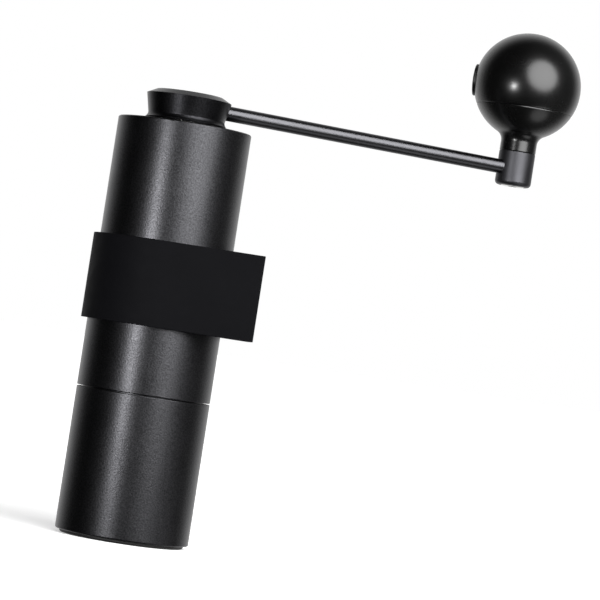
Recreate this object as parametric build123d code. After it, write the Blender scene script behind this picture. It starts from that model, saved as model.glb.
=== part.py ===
from build123d import *
import os
from math import atan2, cos, degrees, hypot, pi, sin, sqrt

# Hand crank coffee grinder: a slim aluminium barrel with a conical burr set, a screw-off
# grounds cup below, and a lift-off crank with a ball knob above. Sizes are millimetres.
# The origin is the centre of the foot pad's lower face. +Z runs up the barrel's axis, and
# the crank arm points along +X at rest.

# ---------------------------------------------------------------- driving dimensions
BARREL_R = 23.0            # outside radius of the barrel and the cup
BARREL_WALL = 1.7
RIM_Z = 143.6              # top rim of the barrel
SEAM_Z = 50.4              # middle of the joint line between cup and barrel
SEAM_GAP = 0.4
EDGE = 0.35                # small turned chamfer on every barrel edge

PAD_R = 21.4               # rubber foot pad
PAD_PROUD = 1.2            # how far the pad stands below the cup
PAD_THICK = 1.95
CUP_FLOOR = 1.8
CUP_WALL = 1.8

THREAD_R = 20.75           # crest of the cup thread on the burr sleeve
THREAD_PITCH = 1.5
THREAD_DEPTH = 0.35
RUN = 0.05                 # radial clearance of a running fit
FREE = 0.10                # radial clearance of a loose fit

SHAFT_R = 3.5
HEX_AF = 6.0               # driving hexagon at the shaft's top, across flats
SHAFT_FLATS = 6.0          # across the two flats that drive the cone burr

BURR_OD_R = 19.0           # 38 mm ring burr
BURR_TOP_Z = 66.0
BURR_WAIST_Z = 56.0        # where the intake teeth meet the finishing teeth
BURR_LOW_Z = 50.4
BURR_GAP = 0.35            # between ring burr and cone burr at rest
RING_LOW_R = 15.9          # the ring burr's inside radius at its lower face
RING_SLOPE = 0.232         # how much that radius shrinks for each millimetre of height
RING_MOUTH_R = 17.2
CONE_TIP_R = 8.4
FINE_TEETH = 30
RING_INTAKE_TEETH = 8
CONE_INTAKE_TEETH = 6
TRAVEL = 1.5               # how far the cone burr moves down for the coarsest grind

BEARING_R = 7.0            # 7 x 14 x 5 ball bearing
BEARING_W = 5.0
BEARING_BALLS = 9
BEARING_Z = {"lower": 79.0, "upper": 125.0}
BALL_BEARING_R = 0.95
BALL_PITCH_R = 5.3
CLIP_R = 5.0               # retaining rings above the bearings
CLIP_THICK = 0.6
CLIP_GROOVE = 0.3

SEAL_Z = 49.0              # O-ring above the cup thread
SEAL_WIRE_R = 0.5
SLEEVE_LOW_Z = 43.6
SLEEVE_TOP_Z = 74.0
LIP_R = 16.2               # the sleeve's lower lip, which the cone burr passes
MOUTH_R = 19.2
SCREW_R = 0.8              # ring burr screws
SCREW_HEAD_R = 1.4
SCREW_HEAD_H = 0.9
SCREW_PLACE_R = 17.6

DIAL_R = 12.0
PLATE_R = 9.5
DETENTS = 12
DETENT_R = 7.6
DETENT_BALL_R = 1.0

ARM_Z = 150.4              # axis of the crank's round rod
ARM_R = 2.6
CRANK_R = 132.3            # from the barrel's axis to the knob's axis
HUB_LOW_Z = RIM_Z + 0.8
HUB_WAIST_Z = RIM_Z + 2.9
HUB_RIM_Z = RIM_Z + 9.45
HUB_TOP_Z = RIM_Z + 11.1
HUB_FOOT_R = 14.0
HUB_WAIST_R = 13.25
HUB_RIM_R = 14.65
HUB_TOP_R = 11.45
SOCKET_R = 6.0             # steel hex socket pressed into the hub

POST_R = 6.55              # post at the arm's end, and the knob's neck
POST_LOW_Z = 144.1
NECK_Z = 156.4             # joint line between post and knob
BALL_R = 19.3
BALL_Z = 180.55
BALL_SEAM_Z = 168.3
BALL_WALL = 2.4
NECK_BLEND_Z = 160.0       # where the neck starts to flare into the ball
AXLE_R = 3.0
PLUG_R = 5.75              # round plug in the side of the ball
PLUG_PROUD = 0.6
PLUG_TURN = 142.0          # the plug faces back towards the barrel, in degrees from +X
SPIGOT_R = 12.8            # the dome's spigot in the stem's rim
SPIGOT_H = 1.2
GRUB_X = 9.6               # grub screw under the rod, from the barrel's axis

BAND_LOW_Z = 73.6
BAND_TOP_Z = 102.8
BAND_OUT_R = 25.2
BAND_WEB = 1.5             # wall between the barrel and the crank pocket
BAND_WALL = 2.0            # walls of the pocket
BAND_END = 33.5            # the pocket's square end, from the barrel's axis
BAND_CORNER = 0.8          # upright corners of the pocket's outside
BAND_ROUND = 0.35          # upper and lower edges
BAND_TURN = -24.7          # the pocket's direction, in degrees from the crank arm

# ---------------------------------------------------------------- derived levels
BORE_R = BARREL_R - BARREL_WALL
CUP_LOW_Z = PAD_PROUD
CUP_TOP_Z = SEAM_Z - SEAM_GAP / 2
TUBE_LOW_Z = SEAM_Z + SEAM_GAP / 2
CUP_BORE_R = BARREL_R - CUP_WALL
CUP_THREAD_R = THREAD_R + FREE
BEARING_HALF = BEARING_W / 2
WASHER_LOW_Z = BEARING_Z["lower"] - BEARING_HALF - 1.3
CLIP_LEVELS = [BEARING_Z["lower"] + BEARING_HALF, BEARING_Z["upper"] + BEARING_HALF]
SEAL_SEAT_R = THREAD_R - 0.95
LIP_LOW_Z = BURR_LOW_Z - 2.2
RING_WAIST_R = RING_LOW_R - RING_SLOPE * (BURR_WAIST_Z - BURR_LOW_Z)
CONE_TOP_Z = BURR_TOP_Z + 3.0
CONE_LOW_Z = 49.2
PLATE_LOW_Z = CONE_LOW_Z - 0.6
DIAL_TOP_Z = PLATE_LOW_Z - 0.1
DIAL_LOW_Z = 41.5
SHAFT_LOW_Z = 40.5
FLATS_LOW_Z = PLATE_LOW_Z - TRAVEL - 0.9
FLATS_TOP_Z = CONE_TOP_Z + 2.0
HEX_LOW_Z = 139.5
HEX_TOP_Z = 147.6
LID_TOP_Z = RIM_Z - 0.4
LID_PLATE_Z = LID_TOP_Z - 2.0
LID_SKIRT_Z = LID_PLATE_Z - 5.0
LID_R = BORE_R - FREE
SKIRT_R = LID_R - 0.9
GASKET_Z = LID_SKIRT_Z + 1.2
GASKET_H = 1.8
BUSH_R = 7.4
SOCKET_LOW_Z = 138.8
SOCKET_TOP_Z = 150.9
CAP_Z = HUB_TOP_Z - 1.1
CAP_R = HUB_TOP_R - 0.3
ROD_START_X = SOCKET_R + 0.7
ROD_END_X = CRANK_R - AXLE_R - 0.3
AXLE_HEAD_R = 4.6
AXLE_HEAD_Z = POST_LOW_Z + 2.3
KNOB_GAP = 0.15
KNOB_LOW_Z = NECK_Z + KNOB_GAP
BUSH_TOP_Z = 172.4
BUSH_OUT_R = 4.5

os.makedirs("parts", exist_ok=True)


# ---------------------------------------------------------------- helpers
def turned(points):
    """A solid of revolution about Z from (radius, height) corner points."""
    outline = Polyline([(r, z) for r, z in points], close=True)
    return revolve(Plane.XZ * make_face(outline), Axis.Z)


def tube(r_out, r_in, z_low, z_high):
    """A plain ring."""
    return turned([(r_in, z_low), (r_out, z_low), (r_out, z_high), (r_in, z_high)])


def rod(radius, z_low, z_high):
    """A plain upright cylinder."""
    return Pos(0, 0, (z_low + z_high) / 2) * Cylinder(radius, z_high - z_low)


def ridges(r_crest, r_root, z_low, z_high, pitch):
    """Outline points of thread-like ring ridges, from z_low to z_high."""
    count = round((z_high - z_low) / pitch)
    step = (z_high - z_low) / count
    points = []
    for i in range(count):
        z = z_low + i * step
        points.append((r_crest, z))
        points.append((r_crest, z + 0.3 * step))
        points.append((r_root, z + 0.5 * step))
        points.append((r_root, z + 0.7 * step))
    points.append((r_crest, z_high))
    return points


def around(shape, count, start=0.0):
    """Copies of a shape turned evenly about Z."""
    return [Rot(0, 0, start + 360.0 * i / count) * shape for i in range(count)]


def torus(ring_r, wire_r, z):
    """An O-ring shape lying level."""
    return Pos(0, 0, z) * Torus(ring_r, wire_r)


def coil(ring_r, wire_r, z_low, z_high, turns):
    """A compression spring of round wire."""
    height = z_high - z_low - 2 * wire_r
    path = Pos(0, 0, z_low + wire_r) * Helix(height / turns, height, ring_r)
    section = Plane(origin=path @ 0, z_dir=path % 0) * Circle(wire_r)
    return sweep(section, path=path, is_frenet=True)


def save(name, shape):
    """Write one node, as one solid or as a group of separate solids."""
    solids = shape if isinstance(shape, list) else [shape]
    if len(solids) == 1:
        export_step(solids[0], "parts/" + name + ".step")
    else:
        group = Compound(children=[Solid(s.solid().wrapped) for s in solids])
        export_step(group, "parts/" + name + ".step")
    print(name)


# ---------------------------------------------------------------- foot and cup
def foot_pad():
    """Rubber disc set into the cup's base, with a shallow ring groove underneath."""
    groove_r = PAD_R - 4.0
    return turned([
        (0, 0), (groove_r - 0.8, 0), (groove_r - 0.5, 0.6), (groove_r + 0.5, 0.6), (groove_r + 0.8, 0),
        (PAD_R - 0.5, 0), (PAD_R, 0.5), (PAD_R, PAD_THICK), (0, PAD_THICK),
    ])


def grounds_cup():
    """Thin-walled cup, with a recess for the pad and a female thread at its mouth."""
    recess_r = PAD_R + RUN
    recess_z = PAD_THICK + RUN
    floor_z = recess_z + CUP_FLOOR
    thread_z = CUP_TOP_Z - 6.9
    thread = ridges(CUP_THREAD_R, CUP_THREAD_R + THREAD_DEPTH, thread_z, CUP_TOP_Z - 0.9, THREAD_PITCH)
    return turned([
        (0, recess_z), (recess_r, recess_z), (recess_r, CUP_LOW_Z), (BARREL_R - EDGE, CUP_LOW_Z),
        (BARREL_R, CUP_LOW_Z + EDGE), (BARREL_R, CUP_TOP_Z - EDGE), (BARREL_R - EDGE, CUP_TOP_Z),
        (CUP_THREAD_R + EDGE, CUP_TOP_Z),
    ] + thread[::-1] + [
        (CUP_BORE_R, thread_z - 0.5), (CUP_BORE_R, floor_z + 2.0), (CUP_BORE_R - 0.6, floor_z + 0.6),
        (CUP_BORE_R - 2.0, floor_z), (0, floor_z),
    ])


# ---------------------------------------------------------------- barrel
def barrel_tube():
    """The upper tube: bean hopper above, burr housing below."""
    return turned([
        (BORE_R, TUBE_LOW_Z), (BARREL_R - EDGE, TUBE_LOW_Z), (BARREL_R, TUBE_LOW_Z + EDGE),
        (BARREL_R, RIM_Z - EDGE), (BARREL_R - EDGE, RIM_Z), (BORE_R + EDGE, RIM_Z), (BORE_R, RIM_Z - EDGE),
    ])


def burr_sleeve():
    """Sleeve that holds the ring burr and carries the cup's male thread below the tube."""
    thread = ridges(THREAD_R, THREAD_R - THREAD_DEPTH, SLEEVE_LOW_Z + 0.4, SEAL_Z - 1.1, THREAD_PITCH)
    half = SEAL_WIRE_R + 0.2
    groove = [
        (THREAD_R, SEAL_Z - half), (SEAL_SEAT_R, SEAL_Z - half),
        (SEAL_SEAT_R, SEAL_Z + half), (THREAD_R, SEAL_Z + half),
    ]
    return turned([
        (MOUTH_R, SLEEVE_LOW_Z), (THREAD_R - THREAD_DEPTH, SLEEVE_LOW_Z),
    ] + thread + groove + [
        (THREAD_R, TUBE_LOW_Z), (BORE_R, TUBE_LOW_Z), (BORE_R, SLEEVE_TOP_Z), (BORE_R - 0.5, SLEEVE_TOP_Z),
        (BURR_OD_R - 1.2, BURR_TOP_Z + 0.2), (BURR_OD_R, BURR_TOP_Z),
        (BURR_OD_R, BURR_LOW_Z), (LIP_R, BURR_LOW_Z), (LIP_R, LIP_LOW_Z), (MOUTH_R, LIP_LOW_Z),
    ]) - [screw_hole(x) for x in burr_screw_places()]


def cup_seal_ring():
    """O-ring above the cup thread."""
    return torus(SEAL_SEAT_R + SEAL_WIRE_R, SEAL_WIRE_R, SEAL_Z)


def cut_teeth(burr, count, r_low, r_high, z_low, z_high, depth, lean, inside):
    """Cut slanted V grooves between two levels of a burr's cone."""
    rise = z_high - z_low
    length = hypot(rise, r_high - r_low) + 4.0
    tilt = degrees(atan2(r_high - r_low, rise))
    wedge = extrude(RegularPolygon(depth * 1.4, 3, rotation=180 if inside else 0), length / 2, both=True)
    placed = Pos((r_low + r_high) / 2, 0, (z_low + z_high) / 2) * Rot(0, tilt, 0) * Rot(lean, 0, 0) * wedge
    return burr - around(placed, count)


def ring_radius(z):
    """The ring burr's inside radius along its finishing teeth."""
    return RING_LOW_R - RING_SLOPE * (z - BURR_LOW_Z)


def burr_screw_places():
    """Three screws hold the ring burr down on the sleeve's lip."""
    return around(Pos(SCREW_PLACE_R, 0, 0), 3, 30)


def screw_hole(place):
    """Countersunk hole through the sleeve's lip."""
    head = Pos(0, 0, LIP_LOW_Z + SCREW_HEAD_H / 2) * Cone(SCREW_HEAD_R, SCREW_R, SCREW_HEAD_H)
    return place * (head + rod(SCREW_R, LIP_LOW_Z, BURR_LOW_Z))


def ring_burr():
    """Hardened ring burr: coarse intake teeth above, fine finishing teeth below."""
    blank = turned([
        (RING_WAIST_R, BURR_WAIST_Z), (ring_radius(BURR_LOW_Z), BURR_LOW_Z), (BURR_OD_R, BURR_LOW_Z),
        (BURR_OD_R, BURR_TOP_Z), (RING_MOUTH_R, BURR_TOP_Z),
    ])
    fine = cut_teeth(
        blank, FINE_TEETH, RING_LOW_R, RING_WAIST_R, BURR_LOW_Z, BURR_WAIST_Z, 0.55, 8, True)
    coarse = cut_teeth(
        fine, RING_INTAKE_TEETH, RING_WAIST_R, RING_MOUTH_R, BURR_WAIST_Z + 3, BURR_TOP_Z + 2, 1.3, 14, True)
    return coarse - [place * rod(SCREW_R, BURR_LOW_Z, BURR_LOW_Z + 4.0) for place in burr_screw_places()]


def ring_burr_screws():
    """Countersunk screws with hexagon sockets."""
    screws = []
    for place in burr_screw_places():
        head = Pos(0, 0, LIP_LOW_Z + SCREW_HEAD_H / 2) * Cone(SCREW_HEAD_R, SCREW_R, SCREW_HEAD_H)
        key = Pos(0, 0, LIP_LOW_Z) * extrude(RegularPolygon(0.7, 6), 0.8)
        screws.append(place * (head + rod(SCREW_R, LIP_LOW_Z + SCREW_HEAD_H, BURR_LOW_Z + 3.8) - key))
    return screws


def bearing_carrier(z_mid, spoke_width):
    """Ring with a central bearing seat on three spokes that beans fall between."""
    low = z_mid - BEARING_HALF - 0.5
    high = z_mid + BEARING_HALF
    rim = tube(BORE_R, BORE_R - 1.6, low, high)
    seat_r = BEARING_R + 2.0
    seat = tube(seat_r, BEARING_R, low, high) + tube(seat_r, BEARING_R - 1.0, low, low + 0.5)
    reach = BORE_R - BEARING_R - 1.5
    spoke = Pos(BEARING_R + 0.7 + reach / 2, 0, z_mid - 0.25) * Box(reach, spoke_width, high - low)
    return rim + seat + around(spoke, 3, 60)


def bearing_outer(z_mid):
    """Outer race with its ball groove."""
    return tube(BEARING_R, 6.0, z_mid - BEARING_HALF, z_mid + BEARING_HALF) - torus(BALL_PITCH_R, 1.0, z_mid)


def bearing_inner(z_mid):
    """Inner race with its ball groove."""
    return tube(4.65, SHAFT_R, z_mid - BEARING_HALF, z_mid + BEARING_HALF) - torus(BALL_PITCH_R, 0.97, z_mid)


def bearing_balls(z_mid):
    """The bearing's ring of balls."""
    return around(Pos(BALL_PITCH_R, 0, z_mid) * Sphere(BALL_BEARING_R), BEARING_BALLS)


# ---------------------------------------------------------------- spindle
def drive_shaft():
    """Steel shaft: adjusting thread below, flats for the cone burr, hexagon at the top."""
    thread = ridges(SHAFT_R, SHAFT_R - 0.3, SHAFT_LOW_Z + 0.5, CONE_LOW_Z - 1.5, 0.75)
    grooves = []
    for level in CLIP_LEVELS:
        grooves += [(SHAFT_R, level), (SHAFT_R - CLIP_GROOVE, level),
                    (SHAFT_R - CLIP_GROOVE, level + CLIP_THICK), (SHAFT_R, level + CLIP_THICK)]
    turned_shaft = turned(
        [(0, SHAFT_LOW_Z), (SHAFT_R - 0.5, SHAFT_LOW_Z)] + thread
        + [(SHAFT_R, CONE_LOW_Z - 1.0)] + grooves
        + [(SHAFT_R, HEX_LOW_Z), (0, HEX_LOW_Z)]
    )
    flat = Box(SHAFT_R * 2, SHAFT_R, FLATS_TOP_Z - FLATS_LOW_Z)
    flat_z = (FLATS_TOP_Z + FLATS_LOW_Z) / 2
    for side in (-1, 1):
        turned_shaft -= Pos(0, side * (SHAFT_FLATS / 2 + SHAFT_R / 2), flat_z) * flat
    section = RegularPolygon(HEX_AF / 2, 6, major_radius=False)
    hexagon = Pos(0, 0, HEX_LOW_Z) * extrude(section, HEX_TOP_Z - HEX_LOW_Z)
    return turned_shaft + chamfer(hexagon.faces().sort_by(Axis.Z)[-1].edges(), 0.4)


def shaft_clips():
    """Open retaining rings in the shaft's grooves, one above each bearing."""
    ring = tube(CLIP_R, SHAFT_R - CLIP_GROOVE, 0, CLIP_THICK)
    ring -= Pos(CLIP_R, 0, CLIP_THICK / 2) * Box(CLIP_R * 2, 2.4, 2)
    return [Pos(0, 0, level) * ring for level in CLIP_LEVELS]


def spring_washer():
    """Flat washer between the preload spring and the lower bearing."""
    return tube(4.6, SHAFT_R, WASHER_LOW_Z + 0.7, WASHER_LOW_Z + 1.3)


def preload_spring():
    """Spring that keeps the cone burr down on the dial."""
    return coil(4.6, 0.45, CONE_TOP_Z + 0.05, WASHER_LOW_Z + 0.6, 3.5)


# ---------------------------------------------------------------- cone burr and dial
def flatted_bore(z_low, z_high):
    """Clearance hole that matches the shaft's two flats."""
    hole = Circle(SHAFT_R + RUN) & Rectangle(3 * SHAFT_R, SHAFT_FLATS + 2 * RUN)
    return Pos(0, 0, z_low) * extrude(hole, z_high - z_low)


def cone_burr():
    """Hardened cone burr: fine teeth at its skirt, coarse spiral teeth at its nose."""
    low_r = ring_radius(CONE_LOW_Z) - BURR_GAP - 0.15
    waist_r = RING_WAIST_R - BURR_GAP
    blank = turned([
        (0, CONE_LOW_Z), (low_r - 0.6, CONE_LOW_Z), (low_r, CONE_LOW_Z + 0.6), (waist_r, BURR_WAIST_Z),
        (CONE_TIP_R, CONE_TOP_Z - 1.0), (CONE_TIP_R - 1.4, CONE_TOP_Z), (0, CONE_TOP_Z),
    ])
    fine = cut_teeth(
        blank, FINE_TEETH, low_r, waist_r, CONE_LOW_Z, BURR_WAIST_Z, 0.5, -8, False)
    coarse = cut_teeth(
        fine, CONE_INTAKE_TEETH, waist_r, CONE_TIP_R, BURR_WAIST_Z + 1, CONE_TOP_Z + 1, 1.7, -24, False)
    return coarse - flatted_bore(CONE_LOW_Z, CONE_TOP_Z)


def click_plate():
    """Thin plate under the cone burr with the dial's click holes."""
    plate = rod(PLATE_R, PLATE_LOW_Z, CONE_LOW_Z) - flatted_bore(PLATE_LOW_Z, CONE_LOW_Z)
    hole = Pos(DETENT_R, 0, PLATE_LOW_Z) * Cylinder(0.6, 0.5)
    return plate - around(hole, DETENTS)


def adjust_dial():
    """Finger dial threaded on the shaft, with scalloped grips and a line for each click."""
    body = turned([
        (SHAFT_R + RUN, DIAL_LOW_Z), (DIAL_R - 1.0, DIAL_LOW_Z), (DIAL_R, DIAL_LOW_Z + 1.0),
        (DIAL_R, DIAL_TOP_Z - 2.0), (DIAL_R - 1.5, DIAL_TOP_Z), (SHAFT_R + RUN, DIAL_TOP_Z),
    ])
    scallop = Pos(DIAL_R + 1.4, 0, (DIAL_LOW_Z + DIAL_TOP_Z) / 2) * Cylinder(2.2, DIAL_TOP_Z - DIAL_LOW_Z + 1)
    line = Pos(DIAL_R - 3.2, 0, DIAL_LOW_Z) * Box(2.4, 0.4, 0.5)
    pocket = rod(1.05, DIAL_TOP_Z - 4.0, DIAL_TOP_Z)
    pockets = [Pos(side * DETENT_R, 0, 0) * pocket for side in (-1, 1)]
    return body - around(scallop, DETENTS, 15) - around(line, DETENTS) - pockets


def detent_balls():
    """Two balls that click against the plate."""
    level = DIAL_TOP_Z + 0.07 - DETENT_BALL_R
    return [Pos(side * DETENT_R, 0, level) * Sphere(DETENT_BALL_R) for side in (-1, 1)]


def detent_springs():
    """Springs under the two click balls."""
    spring = coil(0.65, 0.18, DIAL_TOP_Z - 4.0, DIAL_TOP_Z - 1.9, 4)
    return [Pos(side * DETENT_R, 0, 0) * spring for side in (-1, 1)]


# ---------------------------------------------------------------- lid
def hopper_lid():
    """Lid that plugs the barrel's mouth, with a grooved skirt for its gasket."""
    return turned([
        (BUSH_R, LID_PLATE_Z), (SKIRT_R - 1.8, LID_PLATE_Z), (SKIRT_R - 1.8, LID_SKIRT_Z), (SKIRT_R, LID_SKIRT_Z),
        (SKIRT_R, GASKET_Z), (SKIRT_R - 0.9, GASKET_Z), (SKIRT_R - 0.9, GASKET_Z + GASKET_H),
        (SKIRT_R, GASKET_Z + GASKET_H), (SKIRT_R, LID_PLATE_Z), (LID_R, LID_PLATE_Z + 0.3),
        (LID_R, LID_TOP_Z - 0.3), (LID_R - 0.3, LID_TOP_Z), (BUSH_R, LID_TOP_Z),
    ])


def lid_gasket():
    """Silicone ring with two soft lips, in the lid's groove."""
    crest = BORE_R - RUN
    mid = GASKET_Z + GASKET_H / 2
    return turned([
        (SKIRT_R - 0.9, GASKET_Z), (SKIRT_R, GASKET_Z), (crest, GASKET_Z + 0.4), (SKIRT_R + 0.2, mid),
        (crest, mid + 0.5), (SKIRT_R, GASKET_Z + GASKET_H), (SKIRT_R - 0.9, GASKET_Z + GASKET_H),
    ])


def lid_bush():
    """Plastic bush that the crank's socket turns in."""
    return turned([
        (SOCKET_R + RUN, LID_PLATE_Z - 0.6), (BUSH_R + 0.8, LID_PLATE_Z - 0.6), (BUSH_R + 0.8, LID_PLATE_Z),
        (BUSH_R, LID_PLATE_Z), (BUSH_R, LID_TOP_Z), (BUSH_R + 0.8, LID_TOP_Z),
        (BUSH_R + 0.8, LID_TOP_Z + 0.6), (SOCKET_R + RUN, LID_TOP_Z + 0.6),
    ])


# ---------------------------------------------------------------- crank
def hub_shell():
    """Hub like an upturned cone, with a flared foot and a bevelled rim."""
    foot_z = HUB_LOW_Z + 0.5
    hollow_z = HUB_LOW_Z + 2.0
    outline = [
        Line((SOCKET_R, SOCKET_TOP_Z), (SOCKET_R, hollow_z)),
        Line((SOCKET_R, hollow_z), (12.0, hollow_z)),
        Line((12.0, hollow_z), (12.6, HUB_LOW_Z)),
        Line((12.6, HUB_LOW_Z), (HUB_FOOT_R - 0.2, HUB_LOW_Z)),
        Line((HUB_FOOT_R - 0.2, HUB_LOW_Z), (HUB_FOOT_R, foot_z)),
        ThreePointArc((HUB_FOOT_R, foot_z), (HUB_WAIST_R + 0.18, foot_z + 0.65), (HUB_WAIST_R, HUB_WAIST_Z)),
        Line((HUB_WAIST_R, HUB_WAIST_Z), (HUB_RIM_R, HUB_RIM_Z)),
        Line((HUB_RIM_R, HUB_RIM_Z), (HUB_TOP_R, HUB_TOP_Z)),
        Line((HUB_TOP_R, HUB_TOP_Z), (CAP_R, HUB_TOP_Z)),
        Line((CAP_R, HUB_TOP_Z), (CAP_R, CAP_Z)),
        Line((CAP_R, CAP_Z), (3.4, CAP_Z)),
        Line((3.4, CAP_Z), (3.4, SOCKET_TOP_Z + 0.7)),
        Line((3.4, SOCKET_TOP_Z + 0.7), (1.55, SOCKET_TOP_Z + 0.7)),
        Line((1.55, SOCKET_TOP_Z + 0.7), (1.55, SOCKET_TOP_Z)),
        Line((1.55, SOCKET_TOP_Z), (SOCKET_R, SOCKET_TOP_Z)),
    ]
    shell = revolve(Plane.XZ * make_face(outline), Axis.Z)
    sleeve = Pos((ROD_START_X + 13) / 2, 0, ARM_Z - 1.6) * Box(13 - ROD_START_X, 9.0, 6.0)
    keep = Pos(0, 0, ARM_Z - 1.6) * Cylinder(12.4, 6.0) - rod(SOCKET_R, HUB_LOW_Z, SOCKET_TOP_Z)
    return shell + (sleeve & keep) - along_arm(ARM_R, ROD_START_X, CRANK_R / 2) - grub_hole()


def grub_hole():
    """Threaded hole for the grub screw under the rod."""
    return Pos(GRUB_X, 0, 0) * rod(1.5, HUB_LOW_Z - 0.2, ARM_Z)


def along_arm(radius, x_low, x_high):
    """A cylinder on the arm's axis."""
    return Pos((x_low + x_high) / 2, 0, ARM_Z) * Rot(0, 90, 0) * Cylinder(radius, x_high - x_low)


def hub_cap():
    """Flat disc that closes the hub's top."""
    return turned([
        (0, CAP_Z), (CAP_R, CAP_Z), (CAP_R, HUB_TOP_Z - 0.25), (CAP_R - 0.25, HUB_TOP_Z), (0, HUB_TOP_Z),
    ])


def hub_screw():
    """Screw that clamps the hub to its socket, under the cap."""
    seat = SOCKET_TOP_Z + 0.7
    body = rod(3.2, seat, CAP_Z - 0.1) + rod(1.5, seat - 3.4, seat)
    key = Pos(0, 0, CAP_Z - 1.2) * extrude(RegularPolygon(1.4, 6), 1.2)
    return body - key


def hub_socket():
    """Steel socket that fits over the shaft's hexagon."""
    groove_z = LID_PLATE_Z - 0.7
    outer = turned([
        (0, SOCKET_LOW_Z), (SOCKET_R - 0.4, SOCKET_LOW_Z), (SOCKET_R, SOCKET_LOW_Z + 0.4),
        (SOCKET_R, groove_z - 0.7), (SOCKET_R - 0.4, groove_z - 0.7), (SOCKET_R - 0.4, groove_z),
        (SOCKET_R, groove_z), (SOCKET_R, SOCKET_TOP_Z), (0, SOCKET_TOP_Z),
    ])
    hexagon = Pos(0, 0, SOCKET_LOW_Z) * extrude(
        RegularPolygon(HEX_AF / 2 + RUN, 6, major_radius=False), HEX_TOP_Z + 0.2 - SOCKET_LOW_Z)
    neck = rod(SHAFT_R + RUN, SOCKET_LOW_Z, HEX_LOW_Z + 0.1)
    return outer - hexagon - neck - rod(1.5, HEX_TOP_Z + 0.4, SOCKET_TOP_Z)


def lid_clip():
    """Open ring on the socket that keeps the lid on the crank."""
    groove_z = LID_PLATE_Z - 0.7
    ring = tube(SOCKET_R + 1.3, SOCKET_R - 0.4, groove_z - 0.7, groove_z)
    return ring - Pos(SOCKET_R, 0, groove_z) * Box(SOCKET_R * 2, 3.0, 3)


def arm_grub_screw():
    """Grub screw that locks the rod in the hub."""
    top = ARM_Z - ARM_R
    body = Pos(GRUB_X, 0, 0) * rod(1.5, top - 2.8, top)
    key = Pos(GRUB_X, 0, top - 2.8) * extrude(RegularPolygon(0.8, 6), 1.2)
    return body - key


def arm_rod():
    """The crank arm, a straight round rod."""
    return along_arm(ARM_R, ROD_START_X, ROD_END_X)


def arm_end_post():
    """Post at the arm's end, which the knob's axle stands in."""
    bottom = 1.5
    outline = [
        Line((AXLE_R, AXLE_HEAD_Z), (AXLE_HEAD_R, AXLE_HEAD_Z)),
        Line((AXLE_HEAD_R, AXLE_HEAD_Z), (AXLE_HEAD_R, POST_LOW_Z)),
        Line((AXLE_HEAD_R, POST_LOW_Z), (POST_R - bottom, POST_LOW_Z)),
        CenterArc((POST_R - bottom, POST_LOW_Z + bottom), bottom, -90, 90),
        Line((POST_R, POST_LOW_Z + bottom), (POST_R, NECK_Z - 0.15)),
        Line((POST_R, NECK_Z - 0.15), (POST_R - 0.15, NECK_Z)),
        Line((POST_R - 0.15, NECK_Z), (AXLE_R, NECK_Z)),
        Line((AXLE_R, NECK_Z), (AXLE_R, AXLE_HEAD_Z)),
    ]
    post = Pos(CRANK_R, 0, 0) * revolve(Plane.XZ * make_face(outline), Axis.Z)
    return post - along_arm(ARM_R, CRANK_R / 2, ROD_END_X)


def knob_axle():
    """Shoulder screw from below the post up through the knob, with a polished head."""
    nut_top = BUSH_TOP_Z + 5.6
    body = turned([
        (0, POST_LOW_Z - 0.15), (AXLE_HEAD_R - 0.6, POST_LOW_Z - 0.15), (AXLE_HEAD_R, POST_LOW_Z + 0.3),
        (AXLE_HEAD_R, AXLE_HEAD_Z), (AXLE_R, AXLE_HEAD_Z), (AXLE_R, nut_top - 0.5),
        (AXLE_R - 0.5, nut_top), (0, nut_top),
    ])
    key = Pos(0, 0, POST_LOW_Z - 0.2) * extrude(RegularPolygon(2.0, 6, major_radius=False), 1.6)
    return Pos(CRANK_R, 0, 0) * (body - key)


def axle_washer():
    """Washer above the knob's upper bush."""
    return Pos(CRANK_R, 0, 0) * tube(5.4, AXLE_R, BUSH_TOP_Z + 0.1, BUSH_TOP_Z + 0.8)


def axle_nut():
    """Thin lock nut on the axle's upper end."""
    low = BUSH_TOP_Z + 0.8
    nut = Pos(0, 0, low) * extrude(RegularPolygon(5.0, 6, major_radius=False) - Circle(AXLE_R), 3.8)
    return Pos(CRANK_R, 0, 0) * nut


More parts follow.
